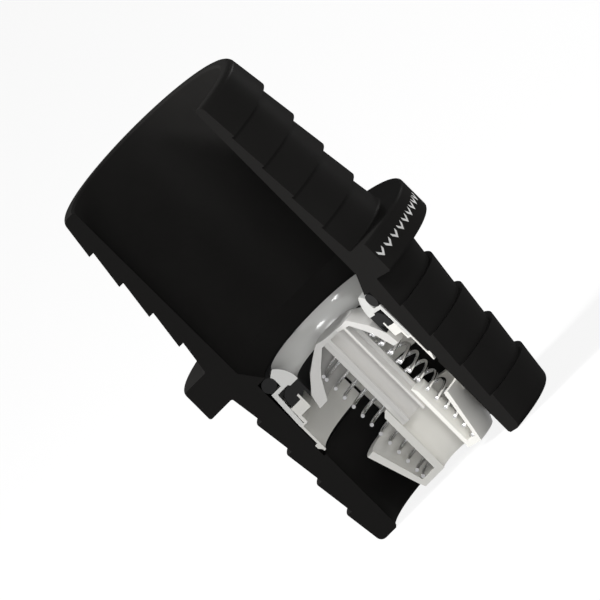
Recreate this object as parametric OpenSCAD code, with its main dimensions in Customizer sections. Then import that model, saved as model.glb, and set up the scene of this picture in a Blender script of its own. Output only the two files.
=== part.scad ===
// Inline hose-tail non-return valve, cut open by a wedge along its axis to show the check cartridge.
// It stands on its outlet end, and Z runs up the axis to the inlet.
// Flow comes in at the top, pushes the poppet down off the lip seal and leaves through the cage.

/* [Section] */
// Angle of the wedge that is cut out of the valve
section_angle = 122; // [40:1:170]

/* [Body] */
// Length of the body from end to end
body_l = 73.7; // [73:0.1:110]
// Diameter of a hose tail at the root of its barbs
tail_d = 37.8; // [36:0.1:44]
// Height of a barb above its root
barb_h = 0.9; // [0.3:0.05:1.6]
// Distance from one barb to the next
barb_pitch = 6.92; // [4:0.01:7.3]
// Number of barbs on each tail
barbs = 4; // [1:1:4]
// Distance from a tail's end to its first barb
first_barb = 7; // [4:0.1:8]
// Rounding of the tail ends
end_round = 1.2; // [0.3:0.1:1.5]
// Diameter of the collar between the tails
collar_d = 49.2; // [44:0.1:60]
// Width of the collar
collar_w = 6.1; // [3:0.1:8]
// Rounding of the collar's edges
collar_round = 0.45; // [0.1:0.05:1.4]
// Fillet at the foot of the collar
foot_fillet = 0.4; // [0.1:0.05:1]

/* [Bores] */
// Diameter of the inlet bore at its mouth
inlet_bore_d = 33; // [31.6:0.1:34]
// Narrowing of the inlet bore on each side, from its mouth down to the throat cone
inlet_draft = 0.25; // [0:0.05:0.6]
// Chamfer inside the mouth of each bore
mouth_chamfer = 0.35; // [0.1:0.05:0.6]
// Diameter of the throat above the shoulder that the O-ring meets
throat_d = 27.1; // [26.4:0.1:28.5]
// Height of the cone that leads from the inlet bore down to the throat
throat_cone_h = 3.75; // [1:0.05:8]
// Distance of the shoulder below the middle of the body
shoulder_drop = 4.45; // [0:0.05:4.9]
// Diameter of the outlet bore that the cartridge is pushed into
cartridge_bore_d = 30.56; // [30:0.02:32.4]
// Distance from the shoulder down to the snap groove
groove_drop = 13.55; // [13.4:0.05:14.1]
// Width of the snap groove
groove_w = 2.25; // [2:0.05:4]
// Depth of the snap groove
groove_depth = 0.42; // [0.34:0.02:0.8]

/* [Inlet ring] */
// Diameter of the opening through the inlet ring
opening_d = 19.66; // [18:0.02:20.4]
// Radius of the bell mouth that leads into the opening
bell_r = 5; // [4.2:0.1:6]
// Height of the bell mouth above the face that holds the seal
bell_h = 4; // [3.2:0.05:4.15]
// Diameter of the O-ring's cord
cord_d = 2.55; // [2.3:0.05:2.6]
// Width of the groove under the shoulder that holds the O-ring
cord_groove_w = 2.74; // [2.7:0.02:3]
// Thickness of the flange under the O-ring
flange_t = 0.66; // [0.4:0.02:1]
// Height of the raised face that presses on the seal
face_h = 0.37; // [0.2:0.01:0.6]
// Diameter of the raised face
face_d = 23.06; // [22.6:0.02:23.6]
// Length of the shell below the flange
shell_l = 6.25; // [5.9:0.05:6.3]
// Wall of the shell
shell_t = 0.77; // [0.5:0.01:0.85]
// Widening of the shell on each side towards its open end
shell_draft = 0.32; // [0.1:0.02:0.4]

/* [Lip seal] */
// Height of the seal between the ring's face and the cage's claws
seal_h = 2.77; // [2.6:0.01:3]
// Rounding of the seal's outer edge
seal_round = 1.95; // [0.8:0.05:2]
// Rounding at the seal's lower edge
seal_edge = 0.3; // [0.1:0.05:0.4]
// Distance of the seat's edge below the tops of the claws
seat_drop = 0.25; // [0.1:0.01:0.3]
// Thickness of the lip at its root, where it tapers down to an edge along the poppet
lip_t = 0.52; // [0.4:0.02:0.8]
// Height of the lip's root above the tops of the claws
lip_root = 0.7; // [0.3:0.02:0.9]

/* [Cage] */
// Number of claws that clamp the seal
claws = 3; // [3:1:4]
// Width of a claw around the axis
claw_angle = 50; // [20:1:70]
// Direction of the first claw
claw_dir = 89; // [80:1:100]
// Height of a claw
claw_h = 1.96; // [1.5:0.02:2.2]
// Thickness of the finger that stands on a claw and locks into the seal
finger_t = 0.4; // [0.3:0.02:0.6]
// Height of the finger
finger_h = 0.89; // [0.5:0.01:1]
// Thickness of the web ring under the claws
web_t = 0.55; // [0.4:0.05:1]
// Thickness of the plate that carries the skirt
link_t = 0.32; // [0.3:0.02:0.6]
// Length of the skirt
skirt_l = 5.6; // [5.5:0.05:6.5]
// Wall of the skirt
skirt_t = 0.4; // [0.3:0.02:0.5]
// Height of the snap bead over the bore it snaps past
bead_h = 0.3; // [0.1:0.02:0.32]
// Length of the snap bead
bead_l = 1.6; // [1:0.05:1.9]
// Number of legs that hold the cup
legs = 3; // [3:1:4]
// Width of a leg around the axis
leg_angle = 26; // [12:1:34]
// Direction of the first leg
leg_dir = 122; // [110:1:130]
// Thickness of a leg where it joins the cup
leg_t = 1.1; // [0.6:0.05:1.6]
// Width of the slit on each side of a leg, around the axis
slit_angle = 2; // [1:0.5:5]
// Length of the skirt that stays whole above the slits
slit_drop = 1.35; // [0.8:0.05:2.5]
// Length of the cage from the top of its claws to its rear end
cage_l = 24.5; // [23:0.05:24.8]
// Thickness of the cup's floor
floor_t = 1.14; // [0.8:0.02:1.6]
// Thickness of the cup's wall at its rim
cup_wall = 1.26; // [0.8:0.02:1.6]
// Thickness of the cup's wall at its floor
cup_foot_wall = 0.9; // [0.6:0.02:1.4]
// Distance on each side that the cup's rim stands out past the poppet's rim
cup_over = 0.16; // [0:0.02:0.6]
// Chamfer under the cup's floor
foot_chamfer = 0.48; // [0.1:0.02:0.8]
// Distance from the cup's rim down to the middle of a leg's end
leg_drop = 1.8; // [1:0.05:3]
// Wall of the guide tube
guide_wall = 1.19; // [0.8:0.01:1.4]
// Depth of the stem in the guide tube when the valve is closed
guide_engage = 3.73; // [2:0.05:6]
// Chamfer round the top of the guide tube
guide_chamfer = 0.75; // [0.2:0.05:0.75]

/* [Poppet] */
// Travel of the poppet from closed to open
lift = 10.7; // [7:0.1:11]
// Slope of the sealing cone: radius gained for each unit of height
cone_slope = 0.866; // [0.75:0.01:1]
// Height of the sealing cone above the edge of the seat
cone_h = 2.04; // [1.7:0.02:2.3]
// Depth of the sealing cone below the edge of the seat
cone_drop = 0.57; // [0.4:0.01:1]
// Height of the nose's edge above the edge of the seat
brow_h = 4.41; // [3.6:0.01:4.5]
// Distance on each side from the top of the sealing cone in to the nose's edge
brow_in = 3.38; // [3:0.02:3.6]
// Height of the nose above the edge of the seat
nose_h = 4.77; // [4.6:0.01:5]
// Distance on each side from the nose's edge in to its flat
nose_in = 0.65; // [0.3:0.05:1]
// Thickness of the nose
nose_t = 1.08; // [0.9:0.02:1.4]
// Depth of the rim below the edge of the seat
rim_drop = 3.02; // [2.6:0.02:3.2]
// Flare of the rim past the sealing cone
rim_flare = 0.48; // [0.2:0.02:0.6]
// Thickness of the wall of the sealing cone, measured level
cone_wall = 2.36; // [1.8:0.02:2.7]
// Thickness of the skirt at its rim
rim_t = 1.69; // [1:0.02:1.9]
// Depth of the dish in the nose
dish = 0.52; // [0.2:0.02:0.55]
// Outside diameter of the hollow stem
stem_d = 5; // [4.4:0.05:5.4]
// Bore of the hollow stem
stem_bore_d = 3.54; // [2:0.02:3.7]
// Number of ribs on the stem
ribs = 4; // [2:1:6]
// Thickness of a rib
rib_t = 1; // [0.6:0.05:1.4]
// Height of a rib above the stem
rib_h = 0.72; // [0.3:0.02:1]
// Direction of the first rib
rib_dir = 14; // [0:1:90]
// Length of stem that stands out of the cage when the valve is open
stem_out = 1.12; // [0:0.02:1.2]

/* [Spring] */
// Diameter of the spring, measured to the middle of its wire
coil_d = 13.5; // [13:0.05:14]
// Diameter of the spring's wire
wire_d = 0.65; // [0.5:0.05:0.8]
// Number of turns that work
turns = 11; // [6:1:13]
// Part of a turn that lies flat at each end
flat_turn = 0.67; // [0.4:0.01:0.67]
// Direction in which the wire leaves the cup's floor
coil_dir = -29; // [-40:1:40]

/* [Fits] */
// Radial gap between the cartridge bore and the open end of the ring's shell
shell_gap = 0.16; // [0.05:0.01:0.2]
// Radial gap between the cartridge bore and the cage's skirt
skirt_gap = 0.21; // [0.15:0.01:0.25]
// Radial gap between the ring's shell and the claws and web ring inside it
slip_gap = 0.04; // [0.02:0.01:0.08]
// Radial gap between the shell and the seal
seal_gap = 0.28; // [0.2:0.01:0.35]
// Gap all round the cord of the O-ring and at the ends of the spring
touch_gap = 0.02; // [0.01:0.01:0.04]
// Radial step between the ring's opening and the seal
seal_step = 0.12; // [0:0.01:0.2]
// Radial gap between the closed poppet and the seal's lip
seat_gap = 0.2; // [0.08:0.01:0.3]
// Radial gap between the stem's ribs and the guide tube
guide_gap = 0.07; // [0.04:0.01:0.1]
// Gap between the finger and its slot in the seal
finger_gap = 0.08; // [0.04:0.01:0.12]
// Distance left between the open poppet and the rim of the cup
stop_gap = 0.49; // [0.3:0.01:0.8]
// Radial gap between the spring and the corner of the cup
coil_gap = 0.08; // [0.04:0.01:0.2]

/* [Hidden] */
$fn = 96;

// The kept part of a turn, with the wedge open towards -Y
kept_from = section_angle / 2 - 90;
kept_to = 270 - section_angle / 2;
wedge_reach = collar_d;
// How far a cutting shape runs past what it cuts
over = 1;

// Body
tail_r = tail_d / 2;
tip_r = tail_r + barb_h;
barb_slope = barb_h / barb_pitch;
last_barb = first_barb + (barbs - 1) * barb_pitch;
collar_z = (body_l - collar_w) / 2;
neck_r = tail_r + barb_h * min(1, (collar_z - last_barb) / barb_pitch);
end_r = tip_r - barb_slope * (first_barb - end_round) - end_round;
collar_r = collar_d / 2;
mouth_r = inlet_bore_d / 2;
throat_r = throat_d / 2;
bore_r = cartridge_bore_d / 2;
shoulder_z = body_l / 2 - shoulder_drop;
groove_z = shoulder_z - groove_drop;

// Levels of the cartridge, from the shoulder down
flange_top = shoulder_z - cord_groove_w;
flange_z = flange_top - flange_t;
face_z = flange_z - face_h;
bell_top = face_z + bell_h;
claw_top = face_z - seal_h;
web_top = claw_top - claw_h;
link_top = flange_z - shell_l;
skirt_z = link_top - skirt_l;
cage_z = claw_top - cage_l;

// O-ring and inlet ring
cord_r = cord_d / 2;
o_ring_r = bore_r - cord_r - touch_gap;
o_ring_z = flange_top + cord_groove_w / 2;
groove_floor_r = o_ring_r - cord_r - touch_gap;
opening_r = opening_d / 2;
bell_lip_r = opening_r + bell_r - sqrt(bell_r * bell_r - bell_h * bell_h);
face_r = face_d / 2;
face_chamfer = 0.24;
shell_r = bore_r - shell_gap;
crown_angle = 142;

// Seal, claws and seat
seal_in_r = opening_r + seal_step;
shell_in_top = shell_r - shell_t - shell_draft;
seal_out_r = shell_in_top - seal_gap;
claw_in_r = face_r;
claw_out_r = shell_in_top + shell_draft * (flange_z - claw_top) / shell_l - slip_gap;
web_step = 0.06;
web_r = claw_out_r + web_step;
web_lap = 0.2;
skirt_r = bore_r - skirt_gap;
seal_relief = 0.1;
seat_z = claw_top - seat_drop;
lip_out_r = seal_in_r + lip_t;
lip_edge = 0.08;

// Poppet
nose_z = seat_z + nose_h;
brow_z = seat_z + brow_h;
cone_top = seat_z + cone_h;
cone_low = seat_z - cone_drop;
rim_z = seat_z - rim_drop;
rim_r = cone_r(cone_low) + rim_flare;
brow_r = cone_r(cone_top) - brow_in;
nose_r = brow_r - nose_in;
plate_z = nose_z - nose_t;
hollow_low = seat_z + 0.25;
hollow_high = hollow_low + 1.3;
hollow_corner = 0.3;
dish_r = (nose_r * nose_r + dish * dish) / (2 * dish);
rib_r = stem_d / 2 + rib_h;
stem_z = cage_z - stem_out + lift;
rib_lap = 0.2;

// Cup and guide
floor_z = cage_z + floor_t;
cup_rim_z = rim_z - lift - stop_gap;
cup_rim_r = rim_r + cup_over;
cup_foot_r = coil_d / 2 + wire_d / 2 + coil_gap;
guide_r = rib_r + guide_gap;
guide_out_r = guide_r + guide_wall;
guide_top = stem_z + guide_engage;
leg_z = cup_rim_z - leg_drop;
leg_in = 0.5;
leg_lap = 0.3;
leg_top_t = 0.28;
leg_drop_handle = [0, -4.4];
leg_cup_handle = [3.4, 1.1];
bead_flat = 0.4;

// Spring
coil_r = coil_d / 2;
wire_r = wire_d / 2;
coil_low = floor_z + wire_r + touch_gap;
coil_high = spring_seat(coil_r) - (wire_r + touch_gap) * sqrt(1 + 1 / (cone_slope * cone_slope));
wire_from = coil_dir - 360 * flat_turn;
wire_to = coil_dir + 360 * (turns + flat_turn);
wire_step = 12;
wire_sides = 8;

// Radius of the sealing cone at a height
function cone_r(z) = seal_in_r - seat_gap + cone_slope * (seat_z - z);

// Height of the inside of the sealing cone at a radius
function spring_seat(r) = seat_z + (seal_in_r - seat_gap - cone_wall - r) / cone_slope;

// Points of an arc about c
function arc(c, r, from, to, n = 6) =
    [for (i = [0:n]) let (a = from + (to - from) * i / n) c + r * [cos(a), sin(a)]];

// Point of a curve with two handles
function curve(a, b, c, d, t) =
    a * pow(1 - t, 3) + b * 3 * t * pow(1 - t, 2) + c * 3 * t * t * (1 - t) + d * pow(t, 3);

// Outline of one hose tail, from its end to the rim of the collar
function tail() = concat(
    arc([end_r, end_round], end_round, -90, 0),
    [for (i = [0:barbs - 1], r = [tip_r, tail_r]) [r, first_barb + i * barb_pitch]],
    arc([neck_r + foot_fillet, collar_z - foot_fillet], foot_fillet, 180, 90, 4),
    arc([collar_r - collar_round, collar_z + collar_round], collar_round, -90, 0, 4)
);

// The same outline on the inlet side, listed from the collar to the end
function tail_turned() =
    let (p = tail()) [for (i = [len(p) - 1:-1:0]) [p[i].x, body_l - p[i].y]];

// Height of the spring's wire in a direction that counts on from turn to turn
function wire_z(a) =
    coil_low + (coil_high - coil_low) * min(1, max(0, (a - coil_dir) / (360 * turns)));

// Cuts the wedge out of a whole piece
module cut_open() {
    difference() {
        children();
        translate([0, 0, -over])
            linear_extrude(body_l + 2 * over)
                polygon([
                    [0, 0],
                    wedge_reach * [cos(kept_to), sin(kept_to)],
                    wedge_reach * [cos(kept_to), sin(kept_to)] - [0, wedge_reach],
                    wedge_reach * [cos(kept_from), sin(kept_from)] - [0, wedge_reach],
                    wedge_reach * [cos(kept_from), sin(kept_from)]
                ]);
    }
}

// Part of a turned piece, centred on a direction
module sector(dir, width) {
    rotate([0, 0, dir - width / 2])
        rotate_extrude(angle = width)
            children();
}

module body() {
    color("#2c2c2d")
        cut_open()
            rotate_extrude()
                polygon(concat(
                    tail(),
                    tail_turned(),
                    [
                        [mouth_r + mouth_chamfer, body_l],
                        [mouth_r, body_l - mouth_chamfer],
                        [mouth_r - inlet_draft, shoulder_z + throat_cone_h],
                        [throat_r, shoulder_z],
                        [bore_r, shoulder_z],
                        [bore_r, groove_z],
                        [bore_r + groove_depth, groove_z],
                        [bore_r + groove_depth, groove_z - groove_w],
                        [bore_r, groove_z - groove_w],
                        [bore_r, mouth_chamfer],
                        [bore_r + mouth_chamfer, 0]
                    ]
                ));
}

module inlet_ring() {
    color("#e9e8e4")
        cut_open()
            rotate_extrude()
                difference() {
                    polygon([
                        [opening_r, face_z],
                        [face_r, face_z],
                        [face_r + face_chamfer, flange_z],
                        [shell_in_top, flange_z],
                        [shell_in_top + shell_draft, link_top],
                        [shell_r, link_top],
                        [shell_r - shell_draft, flange_top],
                        [groove_floor_r, flange_top],
                        [groove_floor_r, o_ring_z],
                        [o_ring_r, o_ring_z] + (cord_r + touch_gap) * [cos(crown_angle), sin(crown_angle)],
                        [bell_lip_r, bell_top],
                        [opening_r, bell_top]
                    ]);
                    translate([o_ring_r, o_ring_z])
                        circle(cord_r + touch_gap);
                    difference() {
                        translate([opening_r - over, face_z])
                            square([bell_r, bell_h] + [over, over]);
                        translate([opening_r + bell_r, face_z])
                            circle(bell_r);
                    }
                }
}

module o_ring() {
    color("#232324")
        cut_open()
            rotate_extrude()
                translate([o_ring_r, o_ring_z])
                    circle(cord_r);
}

module lip_seal() {
    slot_in = claw_in_r - finger_gap;
    slot_out = claw_in_r + finger_t + finger_gap;
    land_z = flange_z - seal_relief;
    color("#1f1f20")
        cut_open()
            rotate_extrude()
                polygon(concat(
                    [
                        [seal_in_r, face_z],
                        [seal_in_r, seat_z],
                        [lip_out_r - lip_edge, seat_z - (lip_t - lip_edge) / cone_slope],
                        [lip_out_r, seat_z - (lip_t - lip_edge) / cone_slope],
                        [lip_out_r, claw_top + lip_root],
                        [slot_in, claw_top],
                        [slot_in, claw_top + finger_h + finger_gap],
                        [slot_out, claw_top + finger_h + finger_gap],
                        [slot_out, claw_top]
                    ],
                    arc([seal_out_r - seal_edge, claw_top + seal_edge], seal_edge, -90, 0, 3),
                    arc([seal_out_r - seal_round, land_z - seal_round], seal_round, 0, 90, 8),
                    [[face_r + finger_gap, face_z]]
                ));
}

// Curved strap from the skirt down to the outside of the cup, seen in section
module leg_section() {
    a = [skirt_r - skirt_t / 2, skirt_z + leg_lap];
    b = a + leg_drop_handle;
    d = [cup_rim_r - cup_wall / 2 - leg_in, leg_z];
    c = d + leg_cup_handle;
    n = 7;
    middle = [for (i = [0:n]) curve(a, b, c, d, i / n)];
    side = [
        for (i = [0:n])
            let (along = middle[min(n, i + 1)] - middle[max(0, i - 1)])
                [-along.y, along.x] / norm(along) * (leg_top_t + (leg_t - leg_top_t) * i / n) / 2
    ];
    polygon(concat(
        [for (i = [0:n]) middle[i] + side[i]],
        [for (i = [n:-1:0]) middle[i] - side[i]]
    ));
}

module cage_skirt() {
    difference() {
        rotate_extrude()
            polygon([
                [web_r - web_t, web_top + web_lap],
                [web_r, web_top + web_lap],
                [web_r, link_top],
                [skirt_r, link_top],
                [skirt_r, skirt_z],
                [skirt_r - skirt_t, skirt_z],
                [skirt_r - skirt_t, link_top - link_t],
                [web_r - web_t, link_top - link_t]
            ]);
        for (i = [0:legs - 1], s = [-1, 1])
            sector(leg_dir + i * 360 / legs + s * (leg_angle + slit_angle) / 2, slit_angle)
                translate([web_r - web_t, skirt_z - over])
                    square([bore_r, link_top - slit_drop - skirt_z + over]);
    }
}

// Snap bead that runs along the foot of a tongue of the skirt, seen in section
module bead_section() {
    bead_top = groove_z - touch_gap;
    polygon([
        [skirt_r - skirt_t / 2, bead_top],
        [bore_r + bead_h, bead_top],
        [bore_r + bead_h, bead_top - bead_l * bead_flat],
        [skirt_r - skirt_t / 2, bead_top - bead_l]
    ]);
}

module cage_claw() {
    polygon([
        [claw_in_r, web_top],
        [claw_out_r, web_top],
        [claw_out_r, claw_top],
        [claw_in_r + finger_t, claw_top],
        [claw_in_r + finger_t, claw_top + finger_h],
        [claw_in_r, claw_top + finger_h]
    ]);
}

module cage_cup() {
    rotate_extrude()
        polygon([
            [guide_r, cage_z],
            [cup_foot_r + cup_foot_wall - foot_chamfer, cage_z],
            [cup_foot_r + cup_foot_wall, floor_z],
            [cup_rim_r, cup_rim_z],
            [cup_rim_r - cup_wall, cup_rim_z],
            [cup_foot_r, floor_z],
            [guide_out_r, floor_z],
            [guide_out_r, guide_top - guide_chamfer],
            [guide_out_r - guide_chamfer, guide_top],
            [guide_r, guide_top]
        ]);
}

module cage() {
    color("#dcdbd6")
        cut_open() {
            cage_skirt();
            for (i = [0:legs - 1])
                sector(leg_dir + (i + 0.5) * 360 / legs, 360 / legs - leg_angle - 4 * slit_angle)
                    bead_section();
            for (i = [0:claws - 1])
                sector(claw_dir + i * 360 / claws, claw_angle)
                    cage_claw();
            for (i = [0:legs - 1])
                sector(leg_dir + i * 360 / legs, leg_angle)
                    leg_section();
            cage_cup();
        }
}

module poppet() {
    color("#efeeea")
        cut_open() {
            difference() {
                rotate_extrude()
                    polygon([
                        [0, nose_z],
                        [nose_r, nose_z],
                        [brow_r, brow_z],
                        [cone_r(cone_top), cone_top],
                        [cone_r(cone_low), cone_low],
                        [rim_r, rim_z],
                        [rim_r - rim_t, rim_z],
                        [cone_r(hollow_low) - cone_wall, hollow_low],
                        [cone_r(hollow_high) - cone_wall, hollow_high],
                        [nose_r - hollow_corner, plate_z],
                        [stem_d / 2, plate_z],
                        [stem_d / 2, stem_z],
                        [stem_bore_d / 2, stem_z],
                        [stem_bore_d / 2, plate_z],
                        [0, plate_z]
                    ]);
                translate([0, 0, nose_z - dish + dish_r])
                    sphere(dish_r);
            }
            for (i = [0:ribs - 1])
                rotate([0, 0, rib_dir + i * 360 / ribs])
                    intersection() {
                        translate([(stem_d + stem_bore_d) / 4, -rib_t / 2, stem_z])
                            cube([rib_r, rib_t, plate_z - stem_z + rib_lap]);
                        translate([0, 0, stem_z])
                            cylinder(h = plate_z - stem_z + rib_lap, r = rib_r);
                    }
        }
}

// One stretch of the spring's wire, between two directions
module wire(from, to) {
    n = ceil((to - from) / wire_step);
    m = wire_sides;
    rings = [
        for (i = [0:n], k = [0:m - 1])
            let (a = from + (to - from) * i / n, b = 360 * k / m, r = coil_r + wire_r * cos(b))
                [r * cos(a), r * sin(a), wire_z(a) + wire_r * sin(b)]
    ];
    sides = [
        for (i = [0:n - 1], k = [0:m - 1])
            let (next = (k + 1) % m)
                [i * m + k, i * m + next, (i + 1) * m + next, (i + 1) * m + k]
    ];
    polyhedron(rings, concat(
        sides,
        [[for (k = [m - 1:-1:0]) k]],
        [[for (k = [0:m - 1]) n * m + k]]
    ));
}

module spring() {
    color("#c9ccd0")
        for (i = [-1:turns + 1]) {
            from = max(wire_from, kept_from + 360 * i);
            to = min(wire_to, kept_to + 360 * i);
            if (to - from > wire_step)
                wire(from, to);
        }
}

body();
inlet_ring();
o_ring();
lip_seal();
cage();
poppet();
spring();
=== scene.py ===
"""Looks of a sectioned non-return valve: its plastics, rubber, spring, flow mark and stage."""

import math

import bmesh
import bpy
from mathutils import Matrix, Vector


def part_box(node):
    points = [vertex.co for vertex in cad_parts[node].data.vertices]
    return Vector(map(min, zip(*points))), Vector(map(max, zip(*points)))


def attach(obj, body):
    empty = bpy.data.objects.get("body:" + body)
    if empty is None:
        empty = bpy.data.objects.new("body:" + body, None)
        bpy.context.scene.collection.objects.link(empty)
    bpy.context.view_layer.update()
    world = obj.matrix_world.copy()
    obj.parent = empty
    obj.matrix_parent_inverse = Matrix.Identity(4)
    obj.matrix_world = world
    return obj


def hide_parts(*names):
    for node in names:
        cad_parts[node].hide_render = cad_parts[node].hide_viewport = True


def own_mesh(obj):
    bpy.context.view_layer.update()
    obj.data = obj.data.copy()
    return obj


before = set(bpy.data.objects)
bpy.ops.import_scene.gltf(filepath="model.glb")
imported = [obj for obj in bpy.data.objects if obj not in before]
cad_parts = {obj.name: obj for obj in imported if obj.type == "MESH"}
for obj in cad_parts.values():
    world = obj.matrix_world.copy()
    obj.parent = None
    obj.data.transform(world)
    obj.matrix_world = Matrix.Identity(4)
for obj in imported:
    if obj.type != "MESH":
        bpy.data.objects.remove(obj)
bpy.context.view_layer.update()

bl_info = {
    "name": "Sectioned Non-Return Valve",
    "version": (1, 0, 0),
    "blender": (4, 5, 0),
    "location": "View3D > Sidebar > Valve",
    "description": "Dresses the sectioned valve in plastics, rubber and wire, on a plain stage",
    "category": "Object",
}

MM = 0.001
SPRING_LOW, SPRING_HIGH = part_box("spring")
BODY_LOW, BODY_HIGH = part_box("body")

# The wedge that is cut out of the valve opens towards -Y, and each of its faces lies this far
# from that direction. The faces look along these normals.
HALF_WEDGE = math.radians(61)
CUT_NORMALS = (
    (math.cos(HALF_WEDGE), -math.sin(HALF_WEDGE), 0),
    (-math.cos(HALF_WEDGE), -math.sin(HALF_WEDGE), 0),
)
# A surface is a cut face where its normal agrees this well with the section's (1 is exactly),
# and it lies this close to the section's plane.
CUT_AGREEMENT = 0.9995
CUT_REACH = 0.02 * MM

# The part of each turn of the spring that the wedge leaves, in radians from +X.
KEPT_FROM = HALF_WEDGE - math.pi / 2
KEPT_TO = 3 * math.pi / 2 - HALF_WEDGE
# A shorter arc than this would be a crumb of wire at the edge of the wedge.
SHORTEST_ARC = math.radians(12)
WIRE_SIDES = 16
WIRE_STEP = math.radians(5)

# The ink of the flow mark starts this deep in the collar, so that no gap shows under it.
MARK_ROOT = 0.1 * MM

# The photo's view: directions in degrees, and the point in the middle of the picture by its
# height and its distance beside the valve's axis.
CAMERA_AZIMUTH = 29
CAMERA_ELEVATION = 9.38
CAMERA_DISTANCE = 0.8
CAMERA_CLIP = (0.01, 10)
VIEW_SIZE = 96.73 * MM
VIEW_HEIGHT = 37.41 * MM
VIEW_ASIDE = 0.6755 * MM

# Name, azimuth and elevation in degrees, distance, width and height in metres, power in watts.
LAMPS = (
    ("left", -61, 35, 0.6, 0.10, 0.10, 5.5),
    ("front", 28, 5, 0.8, 0.40, 0.25, 2.0),
    ("right", 64, 12, 0.7, 0.25, 0.25, 0.5),
    ("upper", 47, 36, 0.6, 0.26, 0.10, 0.8),
    ("top", -40, 62, 0.6, 0.10, 0.10, 0.5),
    ("back", 165, 8, 0.8, 0.30, 0.20, 3.8),
)
# How strongly the white world lights the valve, where 1 is the white that the camera sees.
WORLD_LIGHT = 0.06
# Share of its colour that the floor throws back at the valve, and share of plain white in what
# the camera sees of it. The rest of that shows the valve's shadow.
FLOOR_LIGHT = 0.2
FLOOR_WHITE = 0.88
FLOOR_SIDES = 96

# What the three white mouldings have in common.
WHITE_PLASTIC = {
    "specular": 0.5,
    "coat_roughness": 0.08,
    "grain": 0.002 * MM,
    "clouding": 0.03,
    # Cut faces keep only this share of the colour, a darkening that is painted shade.
    "cut_shade_share": 0.87,
}


class Value:
    """A socket of a material, on which shader maths is written as expressions."""

    def __init__(self, board, socket):
        self.board = board
        self.socket = socket

    def maths(self, operation, *terms):
        """A Math node on these terms."""
        return self.board.node("ShaderNodeMath", {"operation": operation}, dict(enumerate(terms)))

    def __add__(self, other):
        return self.maths("ADD", self, other)

    def __radd__(self, other):
        return self.maths("ADD", other, self)

    def __sub__(self, other):
        return self.maths("SUBTRACT", self, other)

    def __rsub__(self, other):
        return self.maths("SUBTRACT", other, self)

    def __mul__(self, other):
        return self.maths("MULTIPLY", self, other)

    def __rmul__(self, other):
        return self.maths("MULTIPLY", other, self)

    def __gt__(self, other):
        return self.maths("GREATER_THAN", self, other)

    def __lt__(self, other):
        return self.maths("LESS_THAN", self, other)

    def __abs__(self):
        return self.maths("ABSOLUTE", self)


class Board:
    """The nodes of one material or of the world."""

    def __init__(self, owner):
        owner.use_nodes = True
        self.tree = owner.node_tree
        self.tree.nodes.clear()

    def node(self, kind, settings=None, values=None, output=0):
        """Adds a node: its settings first, then the values or links of its sockets."""
        made = self.tree.nodes.new(kind)
        for name, setting in (settings or {}).items():
            setattr(made, name, setting)
        for name, value in (values or {}).items():
            socket = made.inputs[name]
            if isinstance(value, Value):
                self.tree.links.new(value.socket, socket)
            else:
                socket.default_value = value
        return Value(self, made.outputs[output]) if made.outputs else None

    def place(self):
        """The point in the valve's own frame."""
        return self.node("ShaderNodeTexCoord", output="Object")

    def noise(self, size, detail, stretch=(1, 1, 1)):
        """A soft noise from 0 to 1 whose patches are about as wide as size, in metres."""
        scaled = self.node(
            "ShaderNodeVectorMath",
            {"operation": "MULTIPLY"},
            {0: self.place(), 1: Vector(stretch) / size},
        )
        values = {"Vector": scaled, "Scale": 1, "Detail": detail}
        return self.node("ShaderNodeTexNoise", None, values)

    def dot(self, vector, direction):
        """How far a vector goes along a direction."""
        values = {0: vector, 1: direction}
        return self.node(
            "ShaderNodeVectorMath", {"operation": "DOT_PRODUCT"}, values, output="Value"
        )

    def mix(self, factor, first, second):
        """A colour between two colours."""
        # Sockets by number, because the node gives several of its inputs and outputs one name.
        values = {0: factor, 6: first, 7: second}
        return self.node("ShaderNodeMix", {"data_type": "RGBA"}, values, output=2)

    def cut_face(self):
        """1 on the two flat faces that the section leaves, and 0 elsewhere."""
        facing = self.node("ShaderNodeNewGeometry", output="True Normal")
        place = self.place()
        return sum(
            (self.dot(facing, normal) > CUT_AGREEMENT) * (abs(self.dot(place, normal)) < CUT_REACH)
            for normal in CUT_NORMALS
        )

    def bump(self, height, distance):
        """A surface normal that follows a height from 0 to 1, where 1 is a distance in metres."""
        values = {"Height": height, "Distance": distance, "Strength": 1.0}
        return self.node("ShaderNodeBump", None, values, output="Normal")

    def surface(self, values):
        """Ends a material in a surface with these values."""
        self.finish(self.node("ShaderNodeBsdfPrincipled", None, values))

    def finish(self, shader):
        """Ends a material in a shader."""
        self.node("ShaderNodeOutputMaterial", None, {"Surface": shader})


def between(mask, first, last):
    """A value that goes from first to last as the mask goes from 0 to 1."""
    return first + (last - first) * mask


def rgba(colour, share=1.0):
    """A colour, or a share of it, as a socket takes it."""
    return (*[part * share for part in colour], 1)


def new_material(name):
    """A material and the board that holds its nodes."""
    material = bpy.data.materials.new(name)
    return material, Board(material)


def dress(piece, material):
    """Gives every face of a piece one material."""
    piece.data.materials.clear()
    piece.data.materials.append(material)


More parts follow.
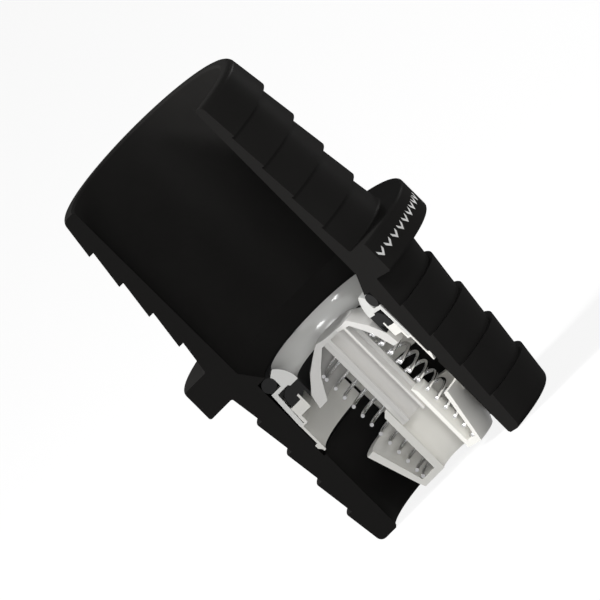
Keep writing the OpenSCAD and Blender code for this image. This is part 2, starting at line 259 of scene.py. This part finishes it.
def moulded_plastic(
    name, colour, roughness, coat, specular, coat_roughness, grain, clouding, cut_shade_share
):
    """Moulded plastic with a fine grain and faint clouds. Where it is cut, it has a rougher milled
    finish with milling marks and a darker colour that is painted shade.
    """
    material, board = new_material(name)
    cut = board.cut_face()
    clouds = board.noise(size=6 * MM, detail=3)
    moulded = board.noise(size=0.22 * MM, detail=2)
    milled = board.noise(size=0.25 * MM, detail=1, stretch=(0.03, 0.03, 1))
    skin = board.mix(clouds, rgba(colour, 1 - clouding), rgba(colour, 1 + clouding))
    patches = between(clouds, first=-0.04, last=0.04)
    milling = between(cut, first=0, last=0.1)
    board.surface({
        # The cut faces get a darker share of the colour: painted shade, not a finish of the
        # plastic.
        "Base Color": board.mix(cut, skin, rgba(colour, cut_shade_share)),
        "Roughness": roughness + patches + milling,
        "Specular IOR Level": specular,
        "Coat Weight": coat,
        "Coat Roughness": coat_roughness,
        "Normal": board.bump(moulded * (1 - cut) + milled * cut, grain),
    })
    return material


def rubber(name, colour):
    """Matt rubber with a dusty bloom."""
    material, board = new_material(name)
    bloom = board.noise(size=1.5 * MM, detail=3)
    grain = board.noise(size=0.18 * MM, detail=3)
    board.surface({
        "Base Color": board.mix(bloom, rgba(colour, share=0.8), rgba(colour, share=1.4)),
        "Roughness": between(bloom, first=0.55, last=0.75),
        "Specular IOR Level": 0.12,
        "Normal": board.bump(grain, distance=0.012 * MM),
    })
    return material


def drawn_wire(name, colour):
    """Bright stainless wire with faint drawing marks and duller cut ends."""
    material, board = new_material(name)
    marks = board.noise(size=0.12 * MM, detail=2)
    cut = board.cut_face()
    bright = board.mix(marks, rgba(colour, share=0.9), rgba(colour, share=1.05))
    drawn_roughness = between(marks, first=0.1, last=0.14)
    cut_roughness = between(cut, first=0, last=0.4)
    board.surface({
        "Base Color": board.mix(cut, bright, rgba(colour, share=0.45)),
        "Metallic": between(cut, first=1, last=0.12),
        "Roughness": drawn_roughness + cut_roughness,
        "Normal": board.bump(marks, distance=0.0002 * MM),
    })
    return material


def print_ink(name, colour):
    """Pale ink printed on the collar."""
    material, board = new_material(name)
    worn = board.noise(size=0.3 * MM, detail=3)
    board.surface({
        "Base Color": board.mix(worn, rgba(colour, share=0.92), rgba(colour)),
        "Roughness": between(worn, first=0.35, last=0.45),
        "Normal": board.bump(worn, distance=0.006 * MM),
    })
    return material


def new_object(name, data):
    """Adds an object to the scene."""
    made = bpy.data.objects.new(name, data)
    bpy.context.scene.collection.objects.link(made)
    return made


def new_mesh(name, bm):
    """Keeps what was built as a mesh."""
    mesh = bpy.data.meshes.new(name)
    bm.to_mesh(mesh)
    bm.free()
    return mesh


def new_piece(name, bm, material, body, smooth=True):
    """A piece of the valve that moves with one of its bodies."""
    bmesh.ops.recalc_face_normals(bm, faces=bm.faces)
    piece = new_object(name, new_mesh(name, bm))
    dress(piece, material)
    for face in piece.data.polygons:
        # A face with more than four corners is the flat end of a wire.
        face.use_smooth = smooth and len(face.vertices) == 4
    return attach(piece, body)


class ValveLooks(bpy.types.PropertyGroup):
    """Sizes and colours of the valve's looks"""

    body_colour: bpy.props.FloatVectorProperty(
        name="Body", description="Colour of the moulded body",
        subtype="COLOR", size=3, default=(0.0155, 0.015, 0.0145), min=0, max=1)
    ring_colour: bpy.props.FloatVectorProperty(
        name="Inlet ring", description="Colour of the glossy inlet ring",
        subtype="COLOR", size=3, default=(0.70, 0.70, 0.68), min=0, max=1)
    cage_colour: bpy.props.FloatVectorProperty(
        name="Cage", description="Colour of the cage",
        subtype="COLOR", size=3, default=(0.80, 0.79, 0.75), min=0, max=1)
    poppet_colour: bpy.props.FloatVectorProperty(
        name="Poppet", description="Colour of the poppet",
        subtype="COLOR", size=3, default=(0.66, 0.65, 0.63), min=0, max=1)
    rubber_colour: bpy.props.FloatVectorProperty(
        name="Rubber", description="Colour of the O-ring and the lip seal",
        subtype="COLOR", size=3, default=(0.012, 0.012, 0.012), min=0, max=1)
    wire_colour: bpy.props.FloatVectorProperty(
        name="Spring wire", description="Colour of the spring's wire",
        subtype="COLOR", size=3, default=(0.94, 0.94, 0.95), min=0, max=1)
    mark_colour: bpy.props.FloatVectorProperty(
        name="Flow mark", description="Colour of the flow mark on the collar",
        subtype="COLOR", size=3, default=(0.80, 0.80, 0.79), min=0, max=1)
    floor_colour: bpy.props.FloatVectorProperty(
        name="Floor", description="Colour of the floor",
        subtype="COLOR", size=3, default=(0.95, 0.95, 0.95), min=0, max=1)
    wire_radius: bpy.props.FloatProperty(
        name="Wire radius", description="Half the thickness of the spring's wire",
        unit="LENGTH", default=0.325 * MM, min=0.1 * MM, max=0.6 * MM, precision=6)
    turns: bpy.props.IntProperty(
        name="Working turns", description="Turns of the spring between its flat ends",
        default=11, min=4, max=16)
    flat_turn: bpy.props.FloatProperty(
        name="Flat turn", description="Part of a turn that lies flat at each end",
        default=0.67, min=0.2, max=1)
    wire_dir: bpy.props.FloatProperty(
        name="Wire start", description="Direction in which the wire leaves the cup's floor",
        subtype="ANGLE", default=math.radians(-29))
    chevrons: bpy.props.IntProperty(
        name="Chevrons", description="Number of chevrons in the flow mark",
        default=9, min=1, max=20)
    chevron_width: bpy.props.FloatProperty(
        name="Chevron width", description="Width of a chevron, around the collar",
        unit="LENGTH", default=1.6 * MM, min=0.5 * MM, max=3 * MM, precision=6)
    chevron_height: bpy.props.FloatProperty(
        name="Chevron height", description="Height of a chevron, along the axis",
        unit="LENGTH", default=1.5 * MM, min=0.5 * MM, max=4 * MM, precision=6)
    chevron_stroke: bpy.props.FloatProperty(
        name="Chevron stroke", description="Height of a chevron's arm, along the axis",
        unit="LENGTH", default=0.6 * MM, min=0.1 * MM, max=1 * MM, precision=6)
    mark_height: bpy.props.FloatProperty(
        name="Ink height", description="Height of the printed mark above the collar",
        unit="LENGTH", default=0.04 * MM, min=0.01 * MM, max=0.2 * MM, precision=6)
    mark_dir: bpy.props.FloatProperty(
        name="Mark direction", description="Direction of the middle of the flow mark",
        subtype="ANGLE", default=math.radians(-4))
    mark_spread: bpy.props.FloatProperty(
        name="Mark spread", description="Angle between the first and the last chevron",
        subtype="ANGLE", default=math.radians(44))
    floor_radius: bpy.props.FloatProperty(
        name="Floor radius", description="Radius of the floor",
        unit="LENGTH", default=3.0, min=0.5, max=10)


def looks():
    """The values that the operators use."""
    return bpy.context.scene.valve_looks


class VALVE_OT_body(bpy.types.Operator):
    """Gives the moulded body its black plastic"""

    bl_idname = "valve.body"
    bl_label = "Body"

    def execute(self, context):
        material = moulded_plastic(
            "black moulded plastic",
            looks().body_colour,
            roughness=0.42,
            coat=0.02,
            specular=0.0,
            coat_roughness=0.3,
            grain=0.004 * MM,
            clouding=0.12,
            # Cut faces are darkened to this share of the colour: painted shade.
            cut_shade_share=0.85,
        )
        dress(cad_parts["body"], material)
        return {"FINISHED"}


class VALVE_OT_cartridge(bpy.types.Operator):
    """Gives the inlet ring, the cage and the poppet their white plastics"""

    bl_idname = "valve.cartridge"
    bl_label = "Cartridge"

    def execute(self, context):
        chosen = looks()
        for node, name, colour, roughness, coat in (
            ("inlet_ring", "glossy white plastic", chosen.ring_colour, 0.2, 1.0),
            ("cage", "satin white plastic", chosen.cage_colour, 0.38, 0.15),
            ("poppet", "smooth white plastic", chosen.poppet_colour, 0.3, 0.5),
        ):
            material = moulded_plastic(name, colour, roughness, coat, **WHITE_PLASTIC)
            dress(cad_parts[node], material)
        return {"FINISHED"}


class VALVE_OT_seals(bpy.types.Operator):
    """Gives the O-ring and the lip seal their black rubber"""

    bl_idname = "valve.seals"
    bl_label = "Seals"

    def execute(self, context):
        material = rubber("black rubber", looks().rubber_colour)
        for node in ("o_ring", "lip_seal"):
            dress(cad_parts[node], material)
        return {"FINISHED"}


def chevron(bm, angle, middle, radius, chosen):
    """One raised chevron on the collar, which points down the flow."""
    half, tall, stroke = chosen.chevron_width / 2, chosen.chevron_height / 2, chosen.chevron_stroke
    outline = (
        (-half, tall),
        (-half, tall - stroke),
        (0, -tall),
        (half, tall - stroke),
        (half, tall),
        (0, stroke - tall),
    )
    layers = []
    for reach in (radius - MARK_ROOT, radius + chosen.mark_height):
        layer = []
        for around, along in outline:
            turned = angle + around / radius
            corner = (reach * math.cos(turned), reach * math.sin(turned), middle + along)
            layer.append(bm.verts.new(corner))
        layers.append(layer)
        for arm in ((0, 1, 2, 5), (2, 3, 4, 5)):
            bm.faces.new([layer[place] for place in arm])
    inner, outer = layers
    for place in range(len(outline)):
        after = (place + 1) % len(outline)
        bm.faces.new((inner[place], inner[after], outer[after], outer[place]))


def wire_arc(bm, from_angle, to_angle, coil_radius, wire_radius, height):
    """One stretch of the spring's wire, closed by a flat face at each end."""
    steps = max(2, math.ceil((to_angle - from_angle) / WIRE_STEP))
    rings = []
    for step in range(steps + 1):
        angle = from_angle + (to_angle - from_angle) * step / steps
        ring = []
        for side in range(WIRE_SIDES):
            around = 2 * math.pi * side / WIRE_SIDES
            reach = coil_radius + wire_radius * math.cos(around)
            ring.append(bm.verts.new((
                reach * math.cos(angle),
                reach * math.sin(angle),
                height(angle) + wire_radius * math.sin(around),
            )))
        rings.append(ring)
    for near, far in zip(rings, rings[1:]):
        for side in range(WIRE_SIDES):
            after = (side + 1) % WIRE_SIDES
            bm.faces.new((near[side], near[after], far[after], far[side]))
    bm.faces.new(rings[0][::-1])
    bm.faces.new(rings[-1])


class VALVE_OT_mark(bpy.types.Operator):
    """Prints a row of chevrons on the collar, which point down the flow"""

    bl_idname = "valve.mark"
    bl_label = "Flow mark"

    def execute(self, context):
        chosen = looks()
        radius = BODY_HIGH.y
        middle = (BODY_LOW.z + BODY_HIGH.z) / 2
        gaps = chosen.chevrons - 1
        pitch = chosen.mark_spread / max(1, gaps)
        bm = bmesh.new()
        for place in range(chosen.chevrons):
            chevron(bm, chosen.mark_dir + (place - gaps / 2) * pitch, middle, radius, chosen)
        ink = print_ink("pale printing ink", chosen.mark_colour)
        new_piece("flow_mark", bm, ink, "housing", smooth=False)
        return {"FINISHED"}


class VALVE_OT_spring(bpy.types.Operator):
    """Winds the smooth spring in place of the faceted one, cut by the same wedge"""

    bl_idname = "valve.spring"
    bl_label = "Spring"

    def execute(self, context):
        chosen = looks()
        turn = 2 * math.pi
        wire = chosen.wire_radius
        coil = max(-SPRING_LOW.x, SPRING_HIGH.x) - wire
        low, high = SPRING_LOW.z + wire, SPRING_HIGH.z - wire
        start = chosen.wire_dir - turn * chosen.flat_turn
        end = chosen.wire_dir + turn * (chosen.turns + chosen.flat_turn)

        def height(angle):
            share = (angle - chosen.wire_dir) / (turn * chosen.turns)
            return low + (high - low) * min(1, max(0, share))

        bm = bmesh.new()
        for place in range(-1, chosen.turns + 2):
            from_angle = max(start, KEPT_FROM + turn * place)
            to_angle = min(end, KEPT_TO + turn * place)
            if to_angle - from_angle > SHORTEST_ARC:
                wire_arc(bm, from_angle, to_angle, coil, wire, height)
        steel = drawn_wire("stainless wire", chosen.wire_colour)
        piece = new_piece("spring_coil", bm, steel, "housing")
        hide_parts("spring")
        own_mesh(piece)
        return {"FINISHED"}


class VALVE_OT_stage(bpy.types.Operator):
    """Sets the camera, a plain pale floor, soft lamps and the world"""

    bl_idname = "valve.stage"
    bl_label = "Stage"

    def execute(self, context):
        set_camera()
        set_floor()
        set_lamps()
        set_world()
        context.scene.view_settings.view_transform = "Standard"
        return {"FINISHED"}


def direction(azimuth, elevation):
    """A unit vector towards a place round the valve: azimuth 0 is -Y and 90 is +X, in degrees."""
    a, e = math.radians(azimuth), math.radians(elevation)
    return Vector((math.sin(a) * math.cos(e), -math.cos(a) * math.cos(e), math.sin(e)))


def set_camera():
    """Looks at the valve as the photo does, with its axis along the picture's diagonal."""
    back = direction(CAMERA_AZIMUTH, CAMERA_ELEVATION)
    axis = (Vector((0, 0, 1)) - back * back.z).normalized()
    side = axis.cross(back)
    right = (side - axis).normalized()
    up = (side + axis).normalized()
    middle = Vector((0, 0, VIEW_HEIGHT)) - VIEW_ASIDE * side
    data = bpy.data.cameras.new("camera")
    data.type = "ORTHO"
    data.ortho_scale = VIEW_SIZE
    data.clip_start, data.clip_end = CAMERA_CLIP
    camera = new_object("camera", data)
    turned = Matrix((right, up, back)).transposed().to_4x4()
    camera.matrix_world = Matrix.Translation(middle + back * CAMERA_DISTANCE) @ turned
    bpy.context.scene.camera = camera


def seen_plainly(board):
    """1 for what the camera, a reflection or glass sees directly, and 0 for light on the valve."""
    rays = sum(
        board.node("ShaderNodeLightPath", output=name)
        for name in ("Is Camera Ray", "Is Glossy Ray", "Is Transmission Ray")
    )
    return board.node("ShaderNodeMath", {"operation": "MINIMUM"}, {0: rays, 1: 1.0})


def set_floor():
    """Lays a round pale floor that looks nearly white and keeps the valve's shadow."""
    chosen = looks()
    material, board = new_material("pale floor")
    seen = seen_plainly(board)
    paint = board.mix(seen, rgba(chosen.floor_colour, FLOOR_LIGHT), rgba(chosen.floor_colour))
    lit = board.node("ShaderNodeBsdfDiffuse", None, {"Color": paint})
    plain = board.node("ShaderNodeEmission", None, {"Color": (1, 1, 1, 1), "Strength": 1.0})
    board.finish(board.node("ShaderNodeMixShader", None, {0: seen * FLOOR_WHITE, 1: lit, 2: plain}))
    bm = bmesh.new()
    bmesh.ops.create_circle(bm, cap_ends=True, segments=FLOOR_SIDES, radius=chosen.floor_radius)
    floor = new_object("floor", new_mesh("floor", bm))
    dress(floor, material)


def set_lamps():
    """Hangs the soft lamps round the valve, each turned to its middle."""
    middle = (BODY_LOW + BODY_HIGH) / 2
    for name, azimuth, elevation, distance, width, height, power in LAMPS:
        data = bpy.data.lights.new(name, "AREA")
        data.shape = "RECTANGLE"
        data.size, data.size_y = width, height
        data.energy = power
        lamp = new_object(name, data)
        back = direction(azimuth, elevation)
        lamp.location = middle + back * distance
        lamp.rotation_mode = "QUATERNION"
        lamp.rotation_quaternion = (-back).to_track_quat("-Z", "Y")


def set_world():
    """Makes the world white to look at, and faint as a light."""
    world = bpy.data.worlds.new("plain world")
    bpy.context.scene.world = world
    board = Board(world)
    strength = between(seen_plainly(board), first=WORLD_LIGHT, last=1)
    values = {"Color": (1, 1, 1, 1), "Strength": strength}
    background = board.node("ShaderNodeBackground", None, values)
    board.node("ShaderNodeOutputWorld", None, {"Surface": background})


STEPS = ("stage", "body", "mark", "cartridge", "seals", "spring")


class VALVE_PT_looks(bpy.types.Panel):
    """Lists the steps and the values that they use"""

    bl_idname = "VALVE_PT_looks"
    bl_label = "Valve"
    bl_space_type = "VIEW_3D"
    bl_region_type = "UI"
    bl_category = "Valve"

    def draw(self, context):
        for step in STEPS:
            self.layout.operator(f"valve.{step}")
        for name in ValveLooks.__annotations__:
            self.layout.prop(looks(), name)


CLASSES = (
    ValveLooks,
    VALVE_OT_body,
    VALVE_OT_mark,
    VALVE_OT_cartridge,
    VALVE_OT_seals,
    VALVE_OT_spring,
    VALVE_OT_stage,
    VALVE_PT_looks,
)


def register():
    """Adds the values, the steps and the panel to Blender."""
    for made in CLASSES:
        bpy.utils.register_class(made)
    bpy.types.Scene.valve_looks = bpy.props.PointerProperty(type=ValveLooks)


def unregister():
    """Takes them out again."""
    del bpy.types.Scene.valve_looks
    for made in reversed(CLASSES):
        bpy.utils.unregister_class(made)


def main():
    """Runs every step."""
    register()
    for step in STEPS:
        getattr(bpy.ops.valve, step)()


if __name__ == "__main__":
    main()
